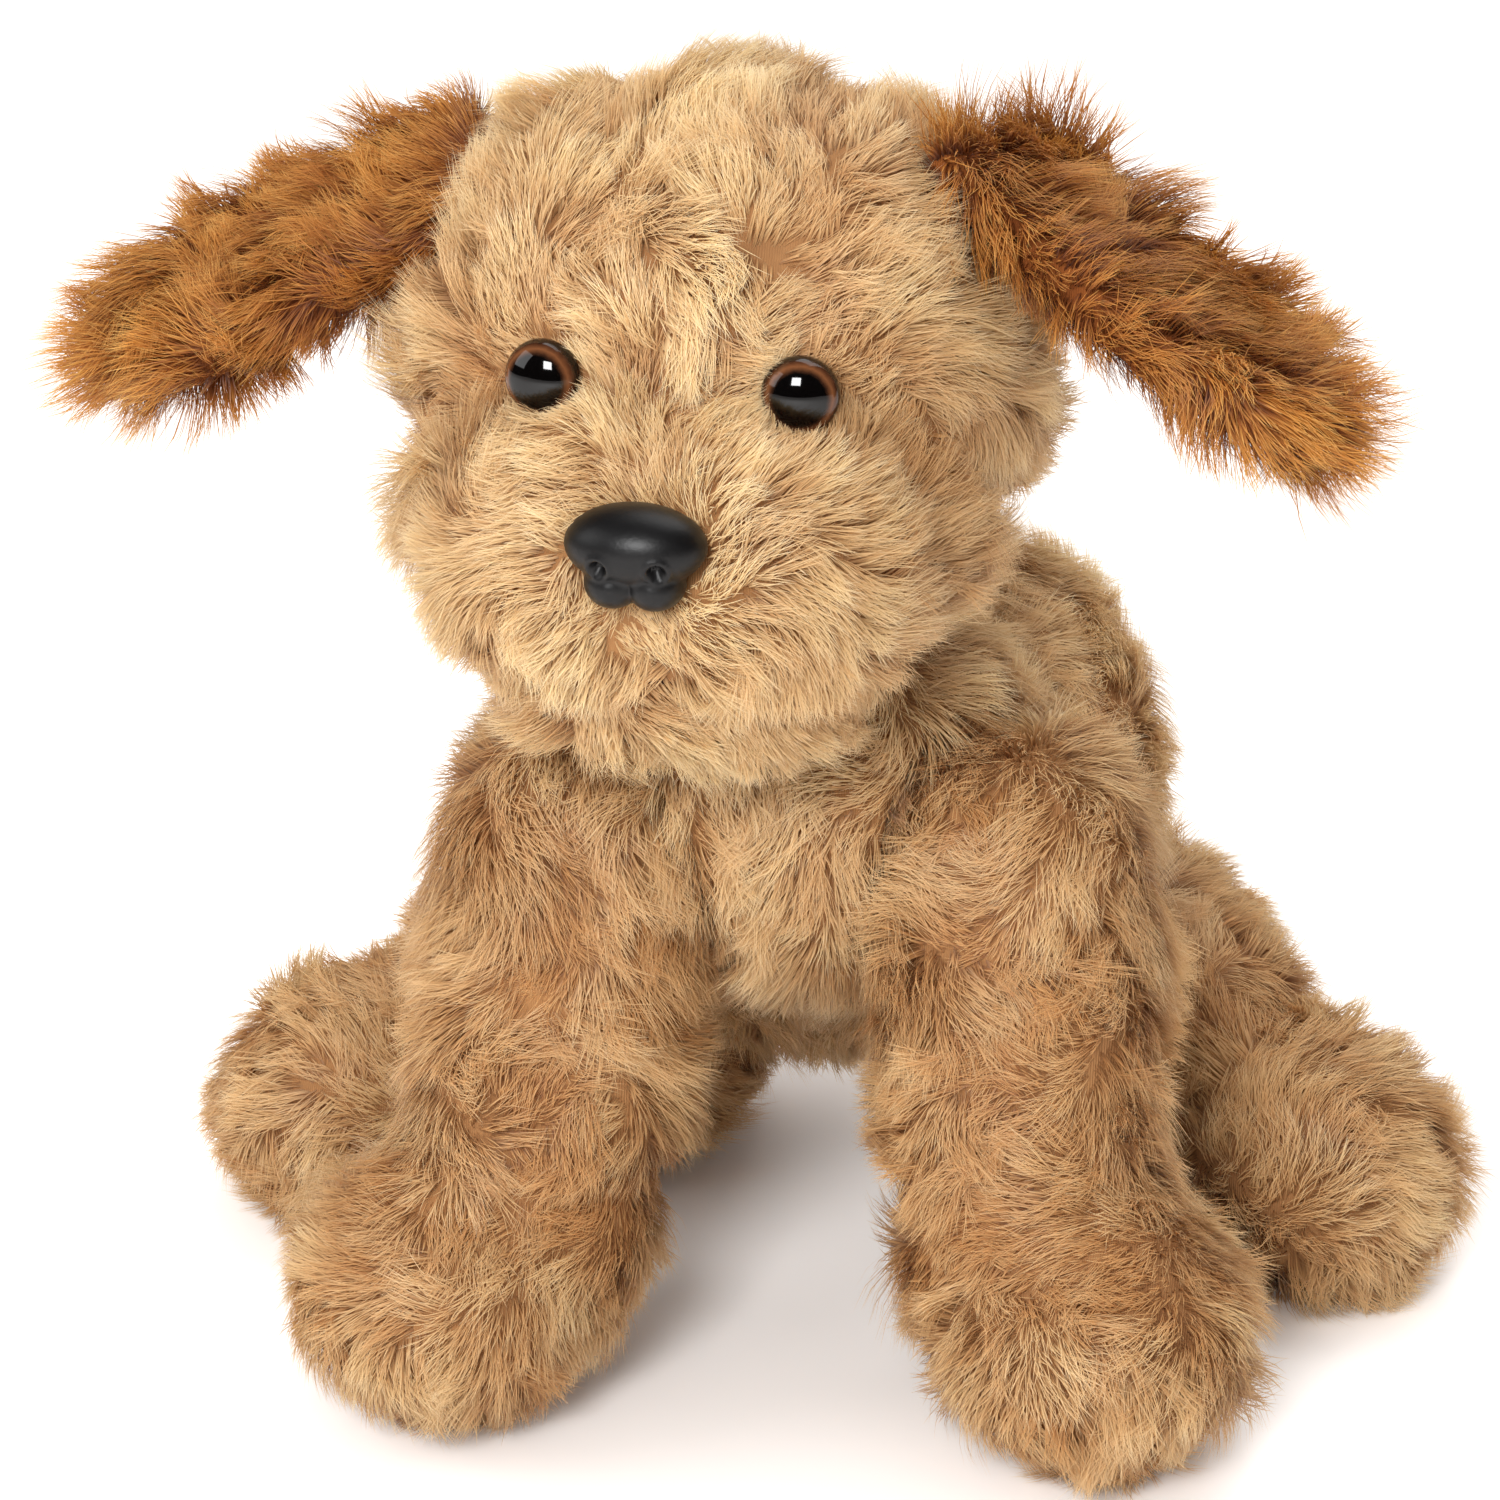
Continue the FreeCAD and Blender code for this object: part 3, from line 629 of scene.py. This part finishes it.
    groups = [("", np.ones(count, bool))] if split is None else split(root)
    for suffix, chosen in groups:
        picks = np.flatnonzero(chosen)
        index = -np.ones(count, int)
        index[picks] = np.arange(len(picks))
        take = (picks[:, None] * per + np.arange(per)).ravel()
        renumber = -np.ones(count * per, int)
        renumber[take] = np.arange(len(take))
        q = renumber[quads]
        q = q[(q >= 0).all(1)]
        t = renumber[tips]
        t = t[(t >= 0).all(1)]
        mesh = new_mesh(name + suffix, points.reshape(-1, 3)[take], t, q)
        thing = new_object(name + suffix, mesh, pile)
        layer = mesh.uv_layers.new(name="OFBake")
        corner = np.empty(len(mesh.loops), np.int32)
        mesh.loops.foreach_get("vertex_index", corner)
        layer.data.foreach_set("uv", uv[take][corner].astype(np.float32).ravel())
        mesh.normals_split_custom_set_from_vertices(shade.reshape(-1, 3)[take].astype(np.float32))
        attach(thing, body)


def over_face(line):
    """True for the fibres that lie over an eye or the nose."""
    over = np.zeros(len(line), bool)
    for centre, axis in EYES:
        away = line - centre
        height = away @ axis
        radial = np.linalg.norm(away - height[..., None] * axis, axis=2)
        over |= ((radial < EYE_RADIUS * MM * EYE_CLEAR) & (height > -6 * MM)).any(1)
    half = np.array(NOSE_CLEAR) * MM
    inside = (((line - NOSE_FRONT - np.array([0, 1.5, 0]) * MM) / half) ** 2).sum(2) < 1
    return over | inside.any(1)


def trimmed(line):
    """The fibres shortened until they are clear of the eyes and nose, and which of them then are."""
    first, grown = line[:, :1], line.copy()
    for share in (0.75, 0.55, 0.38):
        over = over_face(line)
        line[over] = (first + (grown - first) * share)[over]
    return line, ~over_face(line)


# ---------------------------------------------------------------- how each part is combed
def from_nose(points, normals):
    away = unit(points - NOSE_FRONT)
    down = np.array([0, 0.3, -1.0])
    low = smoothstep(NOSE_FRONT[2] - points[:, 2], 0 * MM, 30 * MM)[:, None]
    return away + down * 0.7 * low


def towards(way):
    """Combed all one way."""

    def comb(points, normals):
        return np.tile(way, (len(points), 1)) + NEVER_FLAT

    return comb


DOWNWARDS = towards((0.0, -0.15, -1.0))


HEAD_LOW, HEAD_HIGH = (np.array(c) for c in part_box("head_fill"))
CHEEK = (HEAD_LOW + HEAD_HIGH) / 2 + np.array([0, -10, -12]) * MM
CHEEK[0] = HEAD_LOW[0]


def shoulder_length(points):
    """Longer pile over the shoulder."""
    above, below = smoothstep(points[:, 2], 84 * MM, 100 * MM), smoothstep(points[:, 2], 116 * MM, 130 * MM)
    return 1 + 0.3 * (above - below)


def face_length(points):
    """Shorter pile round the eyes and the nose."""
    scale = np.ones(len(points))
    for centre, _ in EYES:
        scale *= 0.72 + 0.28 * smoothstep(np.linalg.norm(points - centre, axis=1), 8 * MM, 18 * MM)
    beside = 0.7 + 0.3 * smoothstep(np.linalg.norm(points - NOSE_FRONT, axis=1), 13 * MM, 24 * MM)
    scale *= np.where(points[:, 2] > NOSE_FRONT[2], 1.0, beside)
    cheek = 1 - smoothstep(np.linalg.norm(points - CHEEK, axis=1), 10 * MM, 32 * MM)
    scale *= 1 + 0.4 * cheek
    return scale


def face_lift(points):
    """Steeper round the nose."""
    return 16 * (1 - smoothstep(np.linalg.norm(points - NOSE_FRONT, axis=1), 14 * MM, 30 * MM))


def face_tone(points, normals):
    """Lightest up the middle of the brow, with painted shade in the creases between the eyes and the muzzle
    and in the crease on the muzzle's left beside the cheek.
    """
    muzzle = 1 - smoothstep(np.linalg.norm(points - NOSE_FRONT, axis=1), 30 * MM, 75 * MM)
    brow = 1 - smoothstep(np.abs(points[:, 0] - NOSE_FRONT[0]), 10 * MM, 34 * MM)
    level = 0.72 + 0.02 * muzzle + 0.24 * brow
    for centre, _ in EYES:
        # Painted shade in the crease under each eye, between the eye and the muzzle.
        beside = np.linalg.norm(points - centre - np.array([0, 6, -12]) * MM, axis=1)
        level -= 0.25 * (1 - smoothstep(beside, 6 * MM, 18 * MM))
    # Painted shade in the crease between the muzzle's left side and the cheek.
    across, down = (points[:, 0] - NOSE_FRONT[0]) / MM - 33, (points[:, 2] - NOSE_FRONT[2]) / MM + 4
    level -= 0.34 * np.exp(-((across / 13) ** 2) - (down / 11) ** 2)
    return level


def body_tone(points, normals):
    # Pile that faces up is painted lighter and pile that faces down darker, as light from above.
    return 0.65 + 0.1 * normals[:, 2]


def leg_tone(points, normals):
    paw = 1 - smoothstep(points[:, 2], 20 * MM, 60 * MM)
    shoulder = smoothstep(points[:, 2], 90 * MM, 125 * MM)
    # The normals[:, 2] term paints the pile that faces up lighter, as light from above.
    return 0.34 + 0.22 * paw + 0.16 * shoulder + 0.08 * normals[:, 2]


# ---------------------------------------------------------------- the dog
def quarters(points):
    """Front and back, by the middle of the head, and left and right."""
    low, high = (np.array(c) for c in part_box("head_fill"))
    front = points[:, 1] < (low[1] + high[1]) / 2 - HEAD_CUT * MM
    left = points[:, 0] > np.median(points[:, 0])
    return [
        ("_front_left", front & left),
        ("_front_right", front & ~left),
        ("_back_left", ~front & left),
        ("_back_right", ~front & ~left),
    ]


def sixths(points):
    """The quarters, with the back ones split again into a high and a low one."""
    high = points[:, 2] > np.median(points[:, 2])
    parts = []
    for suffix, chosen in quarters(points):
        if "back" in suffix:
            parts += [(suffix + "_high", chosen & high), (suffix + "_low", chosen & ~high)]
        else:
            parts.append((suffix, chosen))
    return parts


def upper_and_lower(points):
    above = points[:, 2] > ANKLE_HEIGHT * MM
    return [("_upper", above), ("_paw", ~above)]


def thigh_and_foot(points):
    back = points[:, 1] > THIGH_FRONT * MM
    return [("_thigh", back), ("_foot", ~back)]


def ear_looks(root, tip, at_root):
    """How light and how long an ear's pile is: lighter and longer towards the tip."""

    def along(points):
        return (points - root) @ (tip - root) / ((tip - root) ** 2).sum()

    def tone(points, normals):
        # The normals[:, 2] term paints the upper side lighter and the underside darker, as light from above.
        return 0.31 + 0.14 * normals[:, 2] + 0.36 * smoothstep(along(points), 0.6, 0.9)

    def length(points):
        near, far = 1 - smoothstep(along(points), 0.1, 0.35), smoothstep(along(points), 0.7, 0.95)
        return 1 + at_root * near + 0.3 * far

    return tone, length


TAN = (TAN_PILE, "tan_pile")
torso_nodes = ["chest_panel", "belly_panel", "back_left_panel", "back_right_panel", "torso_fill",
               "pellet_pouch"]
torso_panels = [[n] for n in torso_nodes[:4]]
torso = skin("torso_skin", "torso", torso_nodes, TAN_CLOTH, panels=torso_panels)
coat("torso_pile", "torso", torso, DOWNWARDS, body_tone, *TAN, 11, split=sixths, panels=torso_panels)

neck = skin("neck_skin", "neck", ["neck_fill"], TAN_CLOTH, inset=1.0, swell=0)
coat("neck_pile", "neck", neck, DOWNWARDS, body_tone, *TAN, 17, length=11, wander=0.5)

head_nodes = ["muzzle_left_panel", "muzzle_right_panel", "chin_panel", "head_left_panel", "head_right_panel",
              "head_gusset", "head_fill"]
head_panels = [[n] for n in head_nodes[:6]]
head = skin("head_skin", "head", head_nodes, TAN_CLOTH, panels=head_panels,
            seam_depth=2.8)
coat("head_pile", "head", head, from_nose, face_tone, *TAN, 23, density=DENSITY * 1.25, wander=0.9,
     length_at=face_length, lift_at=face_lift, trim=trimmed, split=sixths, panels=head_panels)

tail_nodes = ["tail_upper_panel", "tail_lower_panel", "tail_fill"]
tail = skin("tail_skin", "tail", tail_nodes, TAN_CLOTH, swell=0)
coat("tail_pile", "tail", tail, towards((0, 0.6, 0.8)), body_tone, *TAN, 31, length=11, wander=0.5)

for side, sign in (("left", 1), ("right", -1)):
    seed = 40 + 10 * sign
    ear_nodes = [f"ear_{side}_upper_panel", f"ear_{side}_lower_panel"]
    low, high = (np.array(c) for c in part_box(ear_nodes[0]))
    root = np.array([low[0] if sign > 0 else high[0], high[1] / 2 + low[1] / 2, high[2]])
    tip = np.array([high[0] if sign > 0 else low[0], low[1] / 2 + high[1] / 2, low[2]])
    tone, length_at = ear_looks(root, tip, at_root=0.3 if sign > 0 else -0.25)
    body = f"ear_{side}"
    ear = skin(f"{body}_skin", body, ear_nodes, RUST_CLOTH, inset=2.5, swell=0)
    coat(f"{body}_pile", body, ear, towards(unit(tip - root)), tone, RUST_PILE, "rust_pile", seed + 1,
         length=14.5, wander=0.7, density=DENSITY * 1.2, lift=(58, 16), length_at=length_at)

    front_nodes = [f"front_leg_{side}_{p}" for p in ("outer_panel", "inner_panel", "fill")]
    front_nodes += [f"front_paw_{side}_{p}" for p in ("top_panel", "sole_panel")]
    panels = [[n] for n in front_nodes if "fill" not in n]
    body = f"front_leg_{side}"
    leg = skin(f"{body}_skin", body, front_nodes, TAN_CLOTH, panels=panels)
    coat(f"{body}_pile", body, leg, DOWNWARDS, leg_tone, *TAN, seed + 3, panels=panels,
         split=upper_and_lower, length_at=shoulder_length if side == "right" else None)

    hind_nodes = [f"hind_leg_{side}_{p}" for p in ("upper_panel", "lower_panel", "fill")]
    hind_nodes += [f"hind_foot_{side}_panel"]
    panels = [[n] for n in hind_nodes if "fill" not in n]
    body = f"hind_leg_{side}"
    leg = skin(f"{body}_skin", body, hind_nodes, TAN_CLOTH, panels=panels)
    outwards = unit(np.array([0.7 * sign, -0.5, -0.4]))
    coat(f"{body}_pile", body, leg, towards(outwards), leg_tone, *TAN, seed + 5, panels=panels,
         split=thigh_and_foot)


# ---------------------------------------------------------------- eyes, nose and hidden hardware
def lathe(name, centre, axis, profile, count, mat):
    """A turned mesh: profile is a list of (radius, height) from the pole outwards."""
    side = unit(np.cross(axis, [0.0, 0.0, 1.0]))
    other = np.cross(axis, side)
    turn = np.arange(count) * 2 * math.pi / count
    circle = np.cos(turn)[:, None] * side + np.sin(turn)[:, None] * other
    points = [centre + axis * profile[0][1]]
    for radius, height in profile[1:]:
        points += list(centre + axis * height + radius * circle)
    rows = len(profile) - 1
    ring = 1 + np.arange(rows * count).reshape(rows, count)
    beside = np.roll(ring, -1, 1)
    fan = np.stack([np.zeros(count, int), ring[0], beside[0]], 1)
    quads = [np.stack([ring[r], ring[r + 1], beside[r + 1], beside[r]], 1) for r in range(rows - 1)]
    end = len(points)
    points.append(centre + axis * profile[-1][1])
    cap = np.stack([np.full(count, end), beside[-1], ring[-1]], 1)
    mesh = new_mesh(name, np.array(points), np.concatenate([fan, cap]), np.concatenate(quads))
    return new_object(name, mesh, mat)


def plain(name):
    """A CAD washer in its own plastic."""
    NODES[name].data.materials.clear()
    NODES[name].data.materials.append(WASHER_PLASTIC)


for side, (centre, axis) in zip(("left", "right"), EYES):
    # A dome over a thin rim, as (radius, height) from the pole down.
    base = centre - axis * EYE_SUNK * MM
    top, rim = 5.6, 1.0
    angles = np.linspace(0, math.pi / 2, 14)[1:]
    dome = [(0.0, top)] + [(EYE_RADIUS * math.sin(a), rim + (top - rim) * math.cos(a)) for a in angles]
    edge = [(EYE_RADIUS, 0.2), (EYE_RADIUS - 0.4, -0.6)]
    profile = [(r * MM, h * MM) for r, h in dome + edge]
    eye = lathe(f"eye_{side}_dome", base, axis, profile, 64, eye_material(base, axis, EYE_RADIUS * MM))
    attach(eye, "head")
    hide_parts(f"eye_{side}_lens", f"eye_{side}_pupil")
    plain(f"eye_{side}_washer")


def ellipsoid(centre, radii, rows=24, count=48):
    """The points and triangles of an ellipsoid."""
    down = np.linspace(0, math.pi, rows + 1)[1:-1]
    turn = np.arange(count) * 2 * math.pi / count
    ring = np.stack([np.outer(np.sin(down), np.cos(turn)), np.outer(np.sin(down), np.sin(turn)),
                     np.outer(np.cos(down), np.ones(count))], 2).reshape(-1, 3)
    points = np.concatenate([[[0, 0, 1.0]], ring, [[0, 0, -1.0]]]) * radii + centre
    index = 1 + np.arange((rows - 1) * count).reshape(rows - 1, count)
    a, b = index[:-1], index[1:]
    a2, b2 = np.roll(a, -1, 1), np.roll(b, -1, 1)
    last = len(points) - 1
    top, low = index[0], index[-1]
    fans = [np.stack([np.zeros(count, int), top, np.roll(top, -1)], 1),
            np.stack([np.full(count, last), np.roll(low, -1), low], 1)]
    bands = [np.stack(corners, 2).reshape(-1, 3) for corners in ([a, b, b2], [a, b2, a2])]
    return points, np.concatenate([fans[0], *bands, fans[1]])


def nose_piece():
    """A wide rounded top over two lobes, with a raised lip round each nostril."""
    centre = NOSE_FRONT + np.array([0, 0.5, 0]) * MM
    # Each rounded mass as its middle and its half sizes, in millimetres.
    blobs = [((0, 0.8, 2.0), (13.2, 8.8, 7.6)), ((0, 4.0, 0.0), (10.0, 8.0, 7.5)),
             ((-3.9, 0.2, -4.9), (5.5, 6.6, 4.9)), ((3.9, 0.2, -4.9), (5.5, 6.6, 4.9))]
    points, faces, count = [], [], 0
    for place, radii in blobs:
        p, f = ellipsoid(np.array(place) * MM, np.array(radii) * MM)
        points.append(p)
        faces.append(f + count)
        count += len(p)
    mesh = new_mesh("nose_moulding", np.concatenate(points), np.concatenate(faces))
    piece = new_object("nose_moulding", mesh, NOSE_PLASTIC)
    remesh = piece.modifiers.new("Remesh", "REMESH")
    remesh.mode, remesh.voxel_size = "VOXEL", NOSE_VOXEL * MM
    smooth = piece.modifiers.new("Smooth", "SMOOTH")
    smooth.factor, smooth.iterations = 0.5, NOSE_SMOOTHING
    modified(piece)
    p, n, _ = arrays(piece.data)
    for nostril in (-NOSTRIL_X, NOSTRIL_X):
        away = np.hypot(p[:, 0] - nostril * MM, p[:, 2] - NOSTRIL_Z * MM) / MM
        ahead = p[:, 1] < 0
        lip = 0.35 * np.exp(-(((away - 2.2) / 0.55) ** 2))
        pit = 2.0 * (1 - smoothstep(away, 0.6, 1.9))
        bead = 0.8 * (1 - smoothstep(away, 0.0, 0.8))
        p += n * (((lip - pit + bead) * ahead) * MM)[:, None]
    tilt = math.radians(-3)
    turn = np.array([[math.cos(tilt), -math.sin(tilt), 0], [math.sin(tilt), math.cos(tilt), 0], [0, 0, 1]])
    piece.data.vertices.foreach_set("co", (p @ turn.T + centre).astype(np.float32).ravel())
    piece.data.update()
    piece.data.materials.clear()
    piece.data.materials.append(NOSE_PLASTIC)
    piece.data.polygons.foreach_set("use_smooth", np.ones(len(piece.data.polygons), bool))
    return piece


nose = nose_piece()
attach(nose, "head")
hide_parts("nose")
plain("nose_washer")

# The mouth thread is pulled down into the pile, onto the backing.
points, faces = joined(["mouth_thread"])
points[:, 1] += THREAD_SUNK * MM
mouth = new_object("mouth_stitching", new_mesh("mouth_stitching", points, faces), THREAD)
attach(mouth, "head")
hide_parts("mouth_thread")


# ---------------------------------------------------------------- stage, light and camera
FLOOR_WIDTH = 6.0
SKY_LIGHT = 0.92

scene = bpy.context.scene
scene.view_settings.view_transform = "Standard"
scene.view_settings.look = "None"

floor_mat, tree, shader = material("floor", roughness=0.9, specular=0.1)
shader.inputs["Base Color"].default_value = colour(250, 247, 245)
half = FLOOR_WIDTH / 2
corners = np.array([(-half, -half, 0), (half, -half, 0), (half, half, 0), (-half, half, 0)])
mesh = new_mesh("floor", corners, np.empty((0, 3), int), np.array([[0, 1, 2, 3]]))
floor = new_object("floor", mesh, floor_mat)

world = bpy.data.worlds.new("world")
scene.world = world
world.use_nodes = True
world.node_tree.nodes["Background"].inputs["Color"].default_value = (1.0, 0.985, 0.97, 1)
world.node_tree.nodes["Background"].inputs["Strength"].default_value = SKY_LIGHT
world.cycles_visibility.glossy = False

AZIMUTH, ELEVATION, DISTANCE = math.radians(8), math.radians(22), 1.05
TARGET = Vector((0.0076, -0.0028, 0.120))
AIM_LEFT, AIM_DOWN = 0.0152, 0.0039  # how far the camera aims beside its target
SENSOR_MM, LENS_MM = 36, 122.9
level = Vector((math.sin(AZIMUTH), -math.cos(AZIMUTH), 0))
out = level * math.cos(ELEVATION) + Vector((0, 0, math.sin(ELEVATION)))
right = Vector((math.cos(AZIMUTH), math.sin(AZIMUTH), 0))
up = out.cross(right)
aim = TARGET - right * AIM_LEFT - up * AIM_DOWN
viewpoint = TARGET + out * DISTANCE
camera_data = bpy.data.cameras.new("camera")
camera_data.sensor_width = SENSOR_MM
camera_data.lens = LENS_MM
camera = bpy.data.objects.new("camera", camera_data)
scene.collection.objects.link(camera)
camera.location = viewpoint
camera.rotation_euler = (aim - viewpoint).to_track_quat("-Z", "Y").to_euler()
scene.camera = camera


def softbox(name, place, aim_at, size, power):
    light = bpy.data.lights.new(name, "AREA")
    light.shape = "SQUARE"
    light.size = size
    light.energy = power
    holder = bpy.data.objects.new(name, light)
    scene.collection.objects.link(holder)
    holder.location = place
    holder.rotation_euler = (Vector(aim_at) - Vector(place)).to_track_quat("-Z", "Y").to_euler()


softbox("key", (-0.10, -1.25, 0.85), (0, 0, 0.12), 0.42, 18)
softbox("left_fill", (-1.3, -0.5, 0.9), (0, 0, 0.1), 0.9, 7)
softbox("top", (0.3, 0.5, 1.4), (0, 0, 0.1), 1.0, 9)
